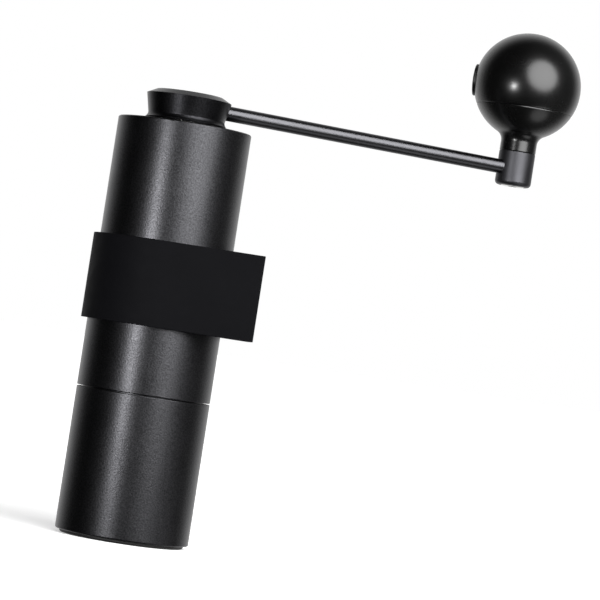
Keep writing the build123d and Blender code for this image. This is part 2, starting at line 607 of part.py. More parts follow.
# ---------------------------------------------------------------- ball knob
def knob_stem():
    """Neck and lower part of the ball, turned in one piece with a tube for the bushes."""
    neck_z = NECK_BLEND_Z
    drop = BALL_Z - neck_z
    blend = ((BALL_R**2 - drop**2) - POST_R**2) / (2 * (POST_R - BALL_R))
    reach = BALL_R / (BALL_R + blend)
    touch = (reach * (POST_R + blend), BALL_Z - reach * drop)
    middle_turn = atan2(touch[1] - neck_z, touch[0] - POST_R - blend)
    middle_turn = (middle_turn + pi) / 2
    blend_mid = (POST_R + blend * (1 + cos(middle_turn)), neck_z + blend * sin(middle_turn))
    lip_r = sqrt(BALL_R**2 - (BALL_Z - BALL_SEAM_Z)**2)
    ball_mid_z = (touch[1] + BALL_SEAM_Z) / 2
    ball_mid = (sqrt(BALL_R**2 - (BALL_Z - ball_mid_z)**2), ball_mid_z)
    inner_r = BALL_R - BALL_WALL
    floor_z = BALL_Z - sqrt(inner_r**2 - (POST_R + 0.8)**2)
    inner_lip_r = sqrt(inner_r**2 - (BALL_Z - BALL_SEAM_Z)**2)
    inner_mid_z = (floor_z + BALL_SEAM_Z) / 2
    inner_mid = (sqrt(inner_r**2 - (BALL_Z - inner_mid_z)**2), inner_mid_z)
    outline = [
        Line((BUSH_OUT_R, KNOB_LOW_Z), (POST_R - 0.15, KNOB_LOW_Z)),
        Line((POST_R - 0.15, KNOB_LOW_Z), (POST_R, KNOB_LOW_Z + 0.15)),
        Line((POST_R, KNOB_LOW_Z + 0.15), (POST_R, neck_z)),
        ThreePointArc((POST_R, neck_z), blend_mid, touch),
        ThreePointArc(touch, ball_mid, (lip_r, BALL_SEAM_Z)),
        Line((lip_r, BALL_SEAM_Z), (inner_lip_r, BALL_SEAM_Z)),
        ThreePointArc((inner_lip_r, BALL_SEAM_Z), inner_mid, (POST_R + 0.8, floor_z)),
        Line((POST_R + 0.8, floor_z), (POST_R + 0.8, BUSH_TOP_Z - 0.4)),
        Line((POST_R + 0.8, BUSH_TOP_Z - 0.4), (BUSH_OUT_R, BUSH_TOP_Z - 0.4)),
        Line((BUSH_OUT_R, BUSH_TOP_Z - 0.4), (BUSH_OUT_R, KNOB_LOW_Z)),
    ]
    stem = revolve(Plane.XZ * make_face(outline), Axis.Z)
    return Pos(CRANK_R, 0, 0) * (stem - tube(SPIGOT_R, 8.0, BALL_SEAM_Z - SPIGOT_H, BALL_SEAM_Z))


def knob_dome():
    """Upper part of the ball, a shell with a spigot that fits the stem and a side hole."""
    seam = BALL_SEAM_Z + 0.12
    inner_r = BALL_R - BALL_WALL
    ball = Pos(0, 0, BALL_Z) * (Sphere(BALL_R) - Sphere(inner_r))
    dome = ball - Pos(0, 0, seam - 25) * Box(50, 50, 50)
    inner_lip_r = sqrt(inner_r**2 - (BALL_Z - seam)**2)
    dome += tube(SPIGOT_R, inner_lip_r - 0.5, BALL_SEAM_Z - SPIGOT_H, seam + 0.6)
    return Pos(CRANK_R, 0, 0) * (dome - plug_bar(PLUG_R, 10.0, 25.0))


def plug_bar(radius, start, end):
    """A level cylinder through the ball's centre, towards the side plug."""
    bar = Pos((start + end) / 2, 0, 0) * Rot(0, 90, 0) * Cylinder(radius, end - start)
    return Pos(0, 0, BALL_Z) * Rot(0, 0, PLUG_TURN) * bar


def knob_side_plug():
    """Low-domed round plug that closes the assembly hole in the ball's side."""
    top = BALL_R + PLUG_PROUD
    dome_r = 22.0
    dome = plug_bar(PLUG_R, 16.0, top) & (
        Pos(0, 0, BALL_Z) * Rot(0, 0, PLUG_TURN) * Pos(top - dome_r, 0, 0) * Sphere(dome_r))
    return Pos(CRANK_R, 0, 0) * dome


def knob_bushes():
    """Two flanged bushes that the knob turns on."""
    length = 6.0
    lower = tube(BUSH_OUT_R, AXLE_R + RUN, KNOB_LOW_Z, KNOB_LOW_Z + length)
    upper = turned([
        (AXLE_R + RUN, BUSH_TOP_Z - length), (BUSH_OUT_R, BUSH_TOP_Z - length), (BUSH_OUT_R, BUSH_TOP_Z - 0.4),
        (BUSH_OUT_R + 1.4, BUSH_TOP_Z - 0.4), (BUSH_OUT_R + 1.4, BUSH_TOP_Z), (AXLE_R + RUN, BUSH_TOP_Z),
    ])
    return [Pos(CRANK_R, 0, 0) * bush for bush in (lower, upper)]


# ---------------------------------------------------------------- grip band
def grip_band():
    """Silicone band round the barrel, with a square-ended pocket that stows the crank."""
    height = BAND_TOP_Z - BAND_LOW_Z
    straight = Pos(BAND_END / 2, 0) * Rectangle(BAND_END, 2 * BAND_OUT_R)
    outer = Circle(BAND_OUT_R) + straight
    outer = fillet(outer.vertices().group_by(Axis.X)[-1], BAND_CORNER)
    pocket = Pos(BAND_END / 2, 0) * Rectangle(BAND_END - 2 * BAND_WALL, 2 * (BAND_OUT_R - BAND_WALL))
    pocket -= Circle(BARREL_R + BAND_WEB)
    pocket &= Pos(BAND_END / 2 + 5, 0) * Rectangle(BAND_END, 4 * BAND_OUT_R)
    profile = outer - Circle(BARREL_R + RUN)
    band = extrude(profile, height)
    for end in (-1, 0):
        rim = band.edges().filter_by(GeomType.LINE, reverse=True).group_by(Axis.Z)[end]
        band = fillet(rim, BAND_ROUND)
    band -= extrude(pocket, height)
    return Rot(0, 0, BAND_TURN) * Pos(0, 0, BAND_LOW_Z) * band


# ---------------------------------------------------------------- write every node
save("foot_pad", foot_pad())
save("grounds_cup", grounds_cup())
save("barrel_tube", barrel_tube())
save("burr_sleeve", burr_sleeve())
save("cup_seal_ring", cup_seal_ring())
save("ring_burr", ring_burr())
save("ring_burr_screws", ring_burr_screws())
for place, z_mid in BEARING_Z.items():
    save(place + "_bearing_carrier", bearing_carrier(z_mid, 3.2))
    save(place + "_bearing_outer_race", bearing_outer(z_mid))
    save(place + "_bearing_inner_race", bearing_inner(z_mid))
    save(place + "_bearing_balls", bearing_balls(z_mid))
save("drive_shaft", drive_shaft())
save("shaft_clips", shaft_clips())
save("spring_washer", spring_washer())
save("preload_spring", preload_spring())
save("cone_burr", cone_burr())
save("click_plate", click_plate())
save("adjust_dial", adjust_dial())
save("detent_balls", detent_balls())
save("detent_springs", detent_springs())
save("hopper_lid", hopper_lid())
save("lid_gasket", lid_gasket())
save("lid_bush", lid_bush())
save("hub_shell", hub_shell())
save("hub_cap", hub_cap())
save("hub_screw", hub_screw())
save("hub_socket", hub_socket())
save("lid_clip", lid_clip())
save("arm_grub_screw", arm_grub_screw())
save("arm_rod", arm_rod())
save("arm_end_post", arm_end_post())
save("knob_axle", knob_axle())
save("axle_washer", axle_washer())
save("axle_nut", axle_nut())
save("knob_stem", knob_stem())
save("knob_dome", knob_dome())
save("knob_side_plug", knob_side_plug())
save("knob_bushes", knob_bushes())
save("grip_band", grip_band())
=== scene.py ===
"""Hand crank coffee grinder: finished surfaces, materials and a small studio.

Laid out as a Blender add-on. Each operator makes one piece or one group of like pieces
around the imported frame; the panel lists them in the order they run.
"""

from math import asin, atan2, cos, degrees, pi, radians, sin, sqrt

import bpy
from mathutils import Matrix, Vector


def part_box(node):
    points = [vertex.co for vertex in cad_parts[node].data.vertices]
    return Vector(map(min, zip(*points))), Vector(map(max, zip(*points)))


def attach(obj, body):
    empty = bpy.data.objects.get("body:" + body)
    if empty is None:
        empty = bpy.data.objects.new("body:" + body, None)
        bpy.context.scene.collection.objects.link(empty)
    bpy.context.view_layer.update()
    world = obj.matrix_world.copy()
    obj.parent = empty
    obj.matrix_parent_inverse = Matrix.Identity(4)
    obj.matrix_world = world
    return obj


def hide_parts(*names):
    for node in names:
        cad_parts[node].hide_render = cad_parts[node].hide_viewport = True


bl_info = {
    "name": "Hand crank coffee grinder",
    "version": (1, 0, 0),
    "blender": (4, 5, 0),
    "location": "View3D > Sidebar > Grinder",
    "description": "Models the grinder's surfaces and materials around its packed frame",
    "category": "Object",
}

MM = 0.001
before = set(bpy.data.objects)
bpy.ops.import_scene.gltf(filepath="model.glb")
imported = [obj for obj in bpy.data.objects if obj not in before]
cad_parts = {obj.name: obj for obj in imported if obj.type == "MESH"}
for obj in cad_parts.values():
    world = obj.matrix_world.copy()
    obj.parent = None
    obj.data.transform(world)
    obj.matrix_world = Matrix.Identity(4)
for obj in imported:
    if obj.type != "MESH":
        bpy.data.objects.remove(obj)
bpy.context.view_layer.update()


# ------------------------------------------------------------------ places from the frame
def low(node):
    """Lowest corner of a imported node."""
    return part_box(node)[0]


def high(node):
    """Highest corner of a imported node."""
    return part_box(node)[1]


BARREL_R = high("barrel_tube").x
RIM_Z = high("barrel_tube").z
TUBE_LOW_Z = low("barrel_tube").z
CUP_TOP_Z = high("grounds_cup").z
CUP_LOW_Z = low("grounds_cup").z
PAD_R = high("foot_pad").x
PAD_TOP_Z = high("foot_pad").z
HUB_LOW_Z = low("hub_shell").z
HUB_TOP_Z = high("hub_shell").z
HUB_RIM_R = high("hub_shell").y
CAP_R = high("hub_cap").x
CAP_LOW_Z = low("hub_cap").z
ARM_Z = (low("arm_rod").z + high("arm_rod").z) / 2
ARM_R = high("arm_rod").y
ARM_START_X = low("arm_rod").x
ARM_END_X = high("arm_rod").x
KNOB_X = (low("arm_end_post").x + high("arm_end_post").x) / 2
POST_R = high("arm_end_post").y
POST_LOW_Z = low("arm_end_post").z
POST_TOP_Z = high("arm_end_post").z
AXLE_HEAD_R = high("knob_axle").y
AXLE_LOW_Z = low("knob_axle").z
AXLE_TOP_Z = high("knob_axle").z
STEM_LOW_Z = low("knob_stem").z
BALL_SEAM_Z = high("knob_stem").z   # the joint line is drawn at the stem's top
BALL_TOP_Z = high("knob_dome").z
BALL_R = 19.3 * MM
BALL_Z = BALL_TOP_Z - BALL_R
BAND_LOW_Z = low("grip_band").z
BAND_TOP_Z = high("grip_band").z
LID_R = high("hopper_lid").x
LID_TOP_Z = high("hopper_lid").z
LID_LOW_Z = low("hopper_lid").z

WALL = 1.7 * MM                     # barrel and cup wall
EDGE = 0.35 * MM                    # turned chamfers
SEAM_EDGE = 0.14 * MM               # finer ones where the cup meets the barrel
BAND_OUT_R = 25.2 * MM
BAND_END = 33.5 * MM                # pocket end, from the barrel's axis
BAND_CORNER = 0.8 * MM
BAND_BORE_R = BARREL_R + 0.05 * MM
POCKET_IN_R = BARREL_R + 1.5 * MM
POCKET_WALL = 2.0 * MM
BAND_TURN = radians(-24.7)          # the pocket's direction, from the crank arm
PLUG_R = 5.75 * MM
PLUG_PROUD = 0.6 * MM
PLUG_TURN = radians(142.0)


# ------------------------------------------------------------------ what a user would change
def srgb(code):
    """Linear colour from an sRGB hex value such as "#1c1c20"."""
    parts = [int(code[i:i + 2], 16) / 255 for i in (1, 3, 5)]
    return tuple(p / 12.92 if p <= 0.04045 else ((p + 0.055) / 1.055) ** 2.4 for p in parts)


def colour(name, description, code):
    """A colour property with its default."""
    return bpy.props.FloatVectorProperty(
        name=name, description=description, subtype="COLOR", size=3, min=0, max=1, default=srgb(code))


class GrinderSizes(bpy.types.PropertyGroup):
    """Fineness of the finished surfaces."""

    sides: bpy.props.IntProperty(
        name="Sides", description="Facets round a large turned piece", default=256, min=32, max=512)
    edge: bpy.props.FloatProperty(
        name="Edge", description="Radius of the small rounds on turned edges", default=0.12 * MM,
        min=0, max=1 * MM, unit="LENGTH")
    soft_edge: bpy.props.FloatProperty(
        name="Moulded edge", description="Radius of the rounds on the silicone band", default=0.4 * MM,
        min=0, max=1 * MM, unit="LENGTH")
    grit: bpy.props.FloatProperty(
        name="Blast grit", description="Size of the dimples left by bead blasting, drawn about three "
        "times too coarse so that they show", default=0.5 * MM, min=0.05 * MM, max=3 * MM, unit="LENGTH")


class GrinderColours(bpy.types.PropertyGroup):
    """Base colours of the finishes."""

    anodised: colour("Anodised black", "Dyed oxide layer on the barrel, cup and lid", "#3b3b3d")
    rod: colour("Rod black", "Gloss black of the crank rod", "#636366")
    post: colour("Post black", "Dyed oxide layer on the post at the rod's end", "#4c4c4f")
    ball: colour("Ball black", "Satin black of the ball knob", "#030303")
    # The hub's darker black is painted shade: the barrel's finish at about half, standing in for the weaker
    # light the lamps leave on the hub
    hub: colour("Deep black", "Darker black of the hub's outside, painted shade", "#2a2a2c")
    silicone: colour("Band silicone", "Pigmented silicone of the grip band", "#08080a")
    rubber: colour("Pad rubber", "Foot pad rubber", "#161616")
    seal: colour("Seal silicone", "Lid gasket and cup seal", "#8d8b86")
    steel: colour("Steel", "Ground and polished steel", "#b9b8b5")
    burr: colour("Burr steel", "Hardened burr steel", "#8f8d89")
    clear_anodised: colour("Clear anodised", "Natural aluminium of the dial", "#b4b5b8")
    acetal: colour("Acetal", "Natural bush plastic", "#dcd9cf")
    floor: colour("Floor", "Pale studio floor", "#f2f2f2")


# ------------------------------------------------------------------ modelling helpers
def deselect():
    """Leave edit mode and select nothing."""
    if bpy.context.object and bpy.context.object.mode != "OBJECT":
        bpy.ops.object.mode_set(mode="OBJECT")
    bpy.ops.object.select_all(action="DESELECT")


def activate(piece):
    """Make one piece the only selected one."""
    deselect()
    piece.select_set(True)
    bpy.context.view_layer.objects.active = piece


def arc(centre, radius, start, end, steps):
    """Points of an arc in degrees, both ends included."""
    angles = [radians(start + (end - start) * i / steps) for i in range(steps + 1)]
    return [(centre[0] + radius * cos(a), centre[1] + radius * sin(a)) for a in angles]


def draw(name, points):
    """A closed outline drawn by extruding one vertex from point to point."""
    deselect()
    bpy.ops.mesh.primitive_circle_add(vertices=3, radius=MM)
    piece = bpy.context.object
    piece.name = piece.data.name = name
    bpy.ops.object.mode_set(mode="EDIT")
    bpy.ops.mesh.merge(type="CENTER")
    bpy.ops.transform.translate(value=points[0])
    for here, there in zip(points, points[1:] + points[:1]):
        bpy.ops.mesh.extrude_region_move(TRANSFORM_OT_translate={"value": Vector(there) - Vector(here)})
    bpy.ops.mesh.select_all(action="SELECT")
    bpy.ops.mesh.remove_doubles(threshold=0.5e-6)
    return piece


def close_up():
    """Merge doubles and turn the faces outwards, in edit mode."""
    bpy.ops.mesh.select_all(action="SELECT")
    bpy.ops.mesh.remove_doubles(threshold=0.5e-6)
    bpy.ops.mesh.dissolve_degenerate(threshold=0.5e-6)
    bpy.ops.mesh.select_all(action="SELECT")
    bpy.ops.mesh.normals_make_consistent(inside=False)
    bpy.ops.object.mode_set(mode="OBJECT")


def turn(name, outline, sides=None, x=0.0):
    """Spin a closed outline of (radius, height) points round an upright axis at x."""
    sides = sides or bpy.context.scene.grinder_sizes.sides
    piece = draw(name, [(x + r, 0, z) for r, z in outline])
    bpy.ops.mesh.spin(steps=sides, angle=2 * pi, center=(x, 0, 0), axis=(0, 0, 1))
    close_up()
    return piece


def prism(name, outline, bottom, top):
    """A closed outline of (x, y) points, filled and extruded from bottom to top."""
    piece = draw(name, [(x, y, bottom) for x, y in outline])
    bpy.ops.mesh.edge_face_add()
    bpy.ops.mesh.extrude_region_move(TRANSFORM_OT_translate={"value": (0, 0, top - bottom)})
    close_up()
    return piece


def bar(name, radius, start, end, sides=96):
    """A round bar between two points."""
    deselect()
    way = Vector(end) - Vector(start)
    turn_to = way.to_track_quat("Z", "Y").to_euler()
    bpy.ops.mesh.primitive_cylinder_add(
        vertices=sides, radius=radius, depth=way.length, location=(Vector(start) + Vector(end)) / 2,
        rotation=turn_to)
    piece = bpy.context.object
    piece.name = piece.data.name = name
    bpy.ops.object.transform_apply(location=True, rotation=True, scale=True)
    return piece


def modify(piece, kind, **settings):
    """Add a modifier and apply it."""
    activate(piece)
    modifier = piece.modifiers.new(kind.title(), kind)
    for key, value in settings.items():
        setattr(modifier, key, value)
    bpy.ops.object.modifier_apply(modifier=modifier.name)


def cut(piece, cutter):
    """Take one piece's shape out of another."""
    modify(piece, "BOOLEAN", operation="DIFFERENCE", solver="EXACT", object=cutter)
    bpy.data.objects.remove(cutter, do_unlink=True)


def round_edges(piece, width, segments=3, angle=28):
    """Round every edge sharper than an angle."""
    modify(piece, "BEVEL", width=width, segments=segments, limit_method="ANGLE",
           angle_limit=radians(angle), harden_normals=False, use_clamp_overlap=True)


def smooth(piece, angle=32):
    """Smooth shading that keeps sharp edges and leaves the large faces between them true."""
    activate(piece)
    bpy.ops.object.shade_smooth_by_angle(angle=radians(angle))
    modify(piece, "WEIGHTED_NORMAL", keep_sharp=True)


def place(piece, body, slot, material, *nodes):
    """Give a finished piece its material, its body and the nodes it stands for."""
    piece.data.materials.clear()
    piece.data.materials.append(material)
    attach(piece, body)
    if nodes:
        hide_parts(*nodes)


def finish_node(material, *nodes):
    """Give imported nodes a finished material."""
    for name in nodes:
        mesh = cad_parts[name].data
        mesh.materials.clear()
        mesh.materials.append(material)


# ------------------------------------------------------------------ materials
NOISE_RANGE = (0.3, 0.7)            # where nearly all of a noise texture's values lie
PAINTED_GLINT_SPREAD = 0.3                         # how far the painted highlight and painted shade dots of blasting stray from the base colour


def node(tree, kind, inputs=None, **settings):
    """Add a node, set its settings, and set or link its inputs."""
    made = tree.nodes.new("ShaderNode" + kind)
    for key, value in settings.items():
        setattr(made, key, value)
    for key, value in (inputs or {}).items():
        if isinstance(value, bpy.types.NodeSocket):
            tree.links.new(value, made.inputs[key])
        else:
            made.inputs[key].default_value = value
    return made


def material(name, base, **sockets):
    """A new material with a Principled shader, and its tree, shader and Object coordinates."""
    made = bpy.data.materials.get(name)
    if made:
        return made, None, None, None
    made = bpy.data.materials.new(name)
    made.use_nodes = True
    tree = made.node_tree
    tree.nodes.clear()
    shader = node(tree, "BsdfPrincipled", {"Base Color": (*base, 1), **sockets})
    node(tree, "OutputMaterial", {"Surface": shader.outputs[0]})
    place_of = node(tree, "TexCoord").outputs["Object"]
    return made, tree, shader, place_of


def grain(tree, place_of, size, detail=2.0, roughness=0.5, stretch=None):
    """Noise whose features are about one size across, in metres."""
    if stretch:
        place_of = node(tree, "Mapping", {"Vector": place_of, "Scale": stretch}).outputs[0]
    return node(tree, "TexNoise", {
        "Vector": place_of, "Scale": 1 / size, "Detail": detail, "Roughness": roughness}).outputs["Fac"]


def spread(tree, value, from_low, from_high, to_low, to_high):
    """Map a value from one range to another."""
    return node(tree, "MapRange", {
        "Value": value, "From Min": from_low, "From Max": from_high,
        "To Min": to_low, "To Max": to_high}).outputs[0]


def bumped(tree, shader, height, depth, strength=1.0):
    """Raise the surface by a height map."""
    bump = node(tree, "Bump", {"Height": height, "Distance": depth, "Strength": strength})
    tree.links.new(bump.outputs[0], shader.inputs["Normal"])


def uneven_gloss(tree, shader, place_of, patch, smoothest, roughest, detail=3.0):
    """Roughness that drifts between two values over patches of one size."""
    patches = grain(tree, place_of, patch, detail)
    tree.links.new(spread(tree, patches, *NOISE_RANGE, smoothest, roughest), shader.inputs["Roughness"])


def blasted_aluminium(name="blasted_anodised_aluminium", base=None):
    """Bead-blasted, black anodised aluminium.

    Small round dimples break a hard light into light and dark dots and spread a soft one
    into a broad sheen. Each dimple turns the light a little; that sparkle is also painted into the
    base colour as a lighter or darker dot, painted highlight and painted shade, on top of the relief.
    """
    base = base or bpy.context.scene.grinder_colours.anodised
    grit = bpy.context.scene.grinder_sizes.grit
    made, tree, shader, place_of = material(name, base, Metallic=1.0)
    if tree:
        dimples = grain(tree, place_of, grit, 1.0, 0.5)
        bumped(tree, shader, dimples, grit * 0.06)
        # Painted sparkle: the dimple noise picks a lighter or darker copy of the base colour, painted
        # highlight and painted shade in place of the light each dimple turns
        painted_glint_mask = spread(tree, dimples, *NOISE_RANGE, 0.0, 1.0)
        painted_shade_colour = tuple((1 - PAINTED_GLINT_SPREAD) * c for c in base)
        painted_highlight_colour = tuple((1 + PAINTED_GLINT_SPREAD) * c for c in base)
        painted_glint_specks = node(tree, "Mix", {0: painted_glint_mask, 6: (*painted_shade_colour, 1), 7: (*painted_highlight_colour, 1)}, data_type="RGBA")
        tree.links.new(painted_glint_specks.outputs[2], shader.inputs["Base Color"])
        uneven_gloss(tree, shader, place_of, 9 * MM, 0.34, 0.37)
    return made


def turned_aluminium(name, base, roughness, line=0.12 * MM):
    """Lathe-turned and anodised aluminium: fine rings round the axis stretch each highlight."""
    made, tree, shader, place_of = material(name, base, Metallic=1.0)
    if tree:
        rings = grain(tree, place_of, line, 2.0, 0.6, (0.02, 0.02, 1.0))
        bumped(tree, shader, rings, 0.006 * MM, 0.6)
        uneven_gloss(tree, shader, place_of, 6 * MM, roughness - 0.03, roughness + 0.04)
    return made


def gloss_rod():
    """Centreless-ground, black-plated steel rod.

    Fine scratches run round it, so it mirrors sharply across and smears each light along its length.
    """
    look = bpy.context.scene.grinder_colours
    made, tree, shader, place_of = material("ground_black_plated_steel", look.rod, Metallic=1.0, **{
        "Anisotropic": 0.95, "Anisotropic Rotation": 0.25})
    if tree:
        around = node(tree, "Tangent", direction_type="RADIAL", axis="X").outputs[0]
        tree.links.new(around, shader.inputs["Tangent"])
        uneven_gloss(tree, shader, place_of, 8 * MM, 0.38, 0.42)
    return made


def satin_ball():
    """Moulded ABS with a smooth satin face: soft-edged reflections and a faint orange peel."""
    look = bpy.context.scene.grinder_colours
    made, tree, shader, place_of = material("satin_black_abs", look.ball, IOR=1.54)
    if tree:
        peel = grain(tree, place_of, 1.6 * MM, 2.0)
        bumped(tree, shader, peel, 0.010 * MM, 0.35)
        uneven_gloss(tree, shader, place_of, 7 * MM, 0.25, 0.28, 4.0)
    return made


def matt_plug():
    """Spark-textured ABS: the same black, too rough for a clear reflection."""
    look = bpy.context.scene.grinder_colours
    made, tree, shader, place_of = material("textured_black_abs", look.ball, IOR=1.54)
    if tree:
        bumped(tree, shader, grain(tree, place_of, 0.3 * MM, 2.0), 0.02 * MM, 0.6)
        uneven_gloss(tree, shader, place_of, 3 * MM, 0.38, 0.46)
    return made


def silicone_band():
    """Moulded silicone with a fine eroded texture: near matt, with a faint bluish bloom."""
    look = bpy.context.scene.grinder_colours
    made, tree, shader, place_of = material("moulded_black_silicone", look.silicone, IOR=1.42, **{
        "Specular IOR Level": 0.05})
    if tree:
        skin = grain(tree, place_of, 0.28 * MM, 3.0, 0.6)
        bumped(tree, shader, skin, 0.03 * MM, 0.5)
        uneven_gloss(tree, shader, place_of, 5 * MM, 0.55, 0.64, 4.0)
        cloud = spread(tree, grain(tree, place_of, 14 * MM, 4.0), 0.35, 0.65, 0.0, 1.0)
        dust = tuple(min(1, c * 1.12) for c in look.silicone)
        mixed = node(tree, "Mix", {0: cloud, 6: (*look.silicone, 1), 7: (*dust, 1)}, data_type="RGBA")
        tree.links.new(mixed.outputs[2], shader.inputs["Base Color"])
    return made


def rubber(name, base, roughness, skin_size=0.4 * MM):
    """Moulded rubber or silicone with a soft skin."""
    made, tree, shader, place_of = material(name, base, IOR=1.5)
    if tree:
        bumped(tree, shader, grain(tree, place_of, skin_size, 2.0), 0.02 * MM, 0.5)
        uneven_gloss(tree, shader, place_of, 5 * MM, roughness - 0.05, roughness + 0.05)
    return made


def ground_steel(name, base, roughness, line=0.15 * MM, depth=0.006 * MM):
    """Ground or polished steel with fine machining rings."""
    made, tree, shader, place_of = material(name, base, Metallic=1.0)
    if tree:
        rings = grain(tree, place_of, line, 2.0, 0.6, (0.05, 0.05, 1.0))
        bumped(tree, shader, rings, depth, 0.6)
        uneven_gloss(tree, shader, place_of, 4 * MM, roughness - 0.04, roughness + 0.05)
    return made


def acetal():
    """Natural acetal: milky, slightly waxy bush plastic."""
    look = bpy.context.scene.grinder_colours
    made, tree, shader, place_of = material("natural_acetal", look.acetal, IOR=1.48)
    if tree:
        bumped(tree, shader, grain(tree, place_of, 0.5 * MM, 2.0), 0.01 * MM, 0.4)
        uneven_gloss(tree, shader, place_of, 3 * MM, 0.35, 0.45, 2.0)
    return made


# ------------------------------------------------------------------ operators
class GRINDER_OT_barrel(bpy.types.Operator):
    """Turn the barrel tube, with its chamfered rims"""

    bl_idname = "grinder.barrel"
    bl_label = "Barrel tube"

    def execute(self, context):
        sizes = context.scene.grinder_sizes
        inner = BARREL_R - WALL
        piece = turn("barrel", [
            (inner, TUBE_LOW_Z), (BARREL_R - SEAM_EDGE, TUBE_LOW_Z), (BARREL_R, TUBE_LOW_Z + SEAM_EDGE),
            (BARREL_R, RIM_Z - EDGE), (BARREL_R - EDGE, RIM_Z), (inner + EDGE, RIM_Z), (inner, RIM_Z - EDGE)])
        round_edges(piece, sizes.edge)
        smooth(piece)
        place(piece, "barrel", "blasted_anodised", blasted_aluminium(), "barrel_tube")
        return {"FINISHED"}


class GRINDER_OT_cup(bpy.types.Operator):
    """Turn the grounds cup, with its thread and the recess for the foot pad"""

    bl_idname = "grinder.cup"
    bl_label = "Grounds cup"

    def execute(self, context):
        sizes = context.scene.grinder_sizes
        thread_r = 20.85 * MM
        root = thread_r + 0.35 * MM
        pitch = 1.5 * MM
        recess_r = PAD_R + 0.05 * MM
        recess_z = PAD_TOP_Z + 0.05 * MM
        floor_z = recess_z + 1.8 * MM
        thread_top = CUP_TOP_Z - 0.9 * MM
        thread = []
        for turn_no in range(4):
            z = thread_top - turn_no * pitch
            thread += [(thread_r, z), (root, z - 0.3 * pitch), (root, z - 0.5 * pitch),
                       (thread_r, z - 0.7 * pitch)]
        bore = BARREL_R - 1.8 * MM
        corner = 2.5 * MM
        piece = turn("cup", [
            (0, recess_z), (recess_r, recess_z), (recess_r, CUP_LOW_Z), (BARREL_R - EDGE, CUP_LOW_Z),
            (BARREL_R, CUP_LOW_Z + EDGE), (BARREL_R, CUP_TOP_Z - SEAM_EDGE),
            (BARREL_R - SEAM_EDGE, CUP_TOP_Z), (thread_r + EDGE, CUP_TOP_Z)]
            + thread + [(thread_r, thread_top - 6 * MM), (bore, thread_top - 6.5 * MM)]
            + [(bore, floor_z + corner)] + arc((bore - corner, floor_z + corner), corner, 0, -90, 8)[1:]
            + [(0, floor_z)])
        round_edges(piece, sizes.edge)
        smooth(piece)
        place(piece, "cup", "blasted_anodised", blasted_aluminium(), "grounds_cup")
        return {"FINISHED"}


class GRINDER_OT_foot(bpy.types.Operator):
    """Turn the rubber foot pad"""

    bl_idname = "grinder.foot"
    bl_label = "Foot pad"

    def execute(self, context):
        look = context.scene.grinder_colours
        groove = PAD_R - 4.0 * MM
        piece = turn("foot", [
            (0, 0), (groove - 0.8 * MM, 0), (groove - 0.5 * MM, 0.6 * MM), (groove + 0.5 * MM, 0.6 * MM),
            (groove + 0.8 * MM, 0), (PAD_R - 0.5 * MM, 0), (PAD_R, 0.5 * MM), (PAD_R, PAD_TOP_Z),
            (0, PAD_TOP_Z)])
        round_edges(piece, 0.2 * MM)
        smooth(piece)
        place(piece, "cup_base", "pad_rubber", rubber("nitrile_rubber", look.rubber, 0.6), "foot_pad")
        return {"FINISHED"}


def turned_in_plan(points, angle):
    """(x, y) points turned about the origin."""
    return [(x * cos(angle) - y * sin(angle), x * sin(angle) + y * cos(angle)) for x, y in points]


class GRINDER_OT_band(bpy.types.Operator):
    """Mould the silicone grip band with its square-ended crank pocket"""

    bl_idname = "grinder.band"
    bl_label = "Grip band"

    def execute(self, context):
        sizes = context.scene.grinder_sizes
        far = BAND_END - BAND_CORNER
        side = BAND_OUT_R - BAND_CORNER
        outer = (arc((0, 0), BAND_OUT_R, 90, 270, 96) + arc((far, -side), BAND_CORNER, -90, 0, 8)
                 + arc((far, side), BAND_CORNER, 0, 90, 8))
        piece = prism("band", turned_in_plan(outer, BAND_TURN), BAND_LOW_Z, BAND_TOP_Z)
        over = 2 * MM
        bore = prism("bore", arc((0, 0), BAND_BORE_R, 0, 360 * 191 / 192, 191),
                     BAND_LOW_Z - over, BAND_TOP_Z + over)
        cut(piece, bore)
        inside = BAND_OUT_R - POCKET_WALL
        reach = BAND_END - POCKET_WALL
        meet = degrees(asin(inside / POCKET_IN_R))
        pocket = arc((0, 0), POCKET_IN_R, -meet, meet, 64) + [(reach, inside), (reach, -inside)]
        cut(piece, prism("pocket", turned_in_plan(pocket, BAND_TURN), BAND_LOW_Z - over, BAND_TOP_Z + over))
        round_edges(piece, sizes.soft_edge, 4, 40)
        smooth(piece)
        place(piece, "band", "band_silicone", silicone_band(), "grip_band")
        return {"FINISHED"}


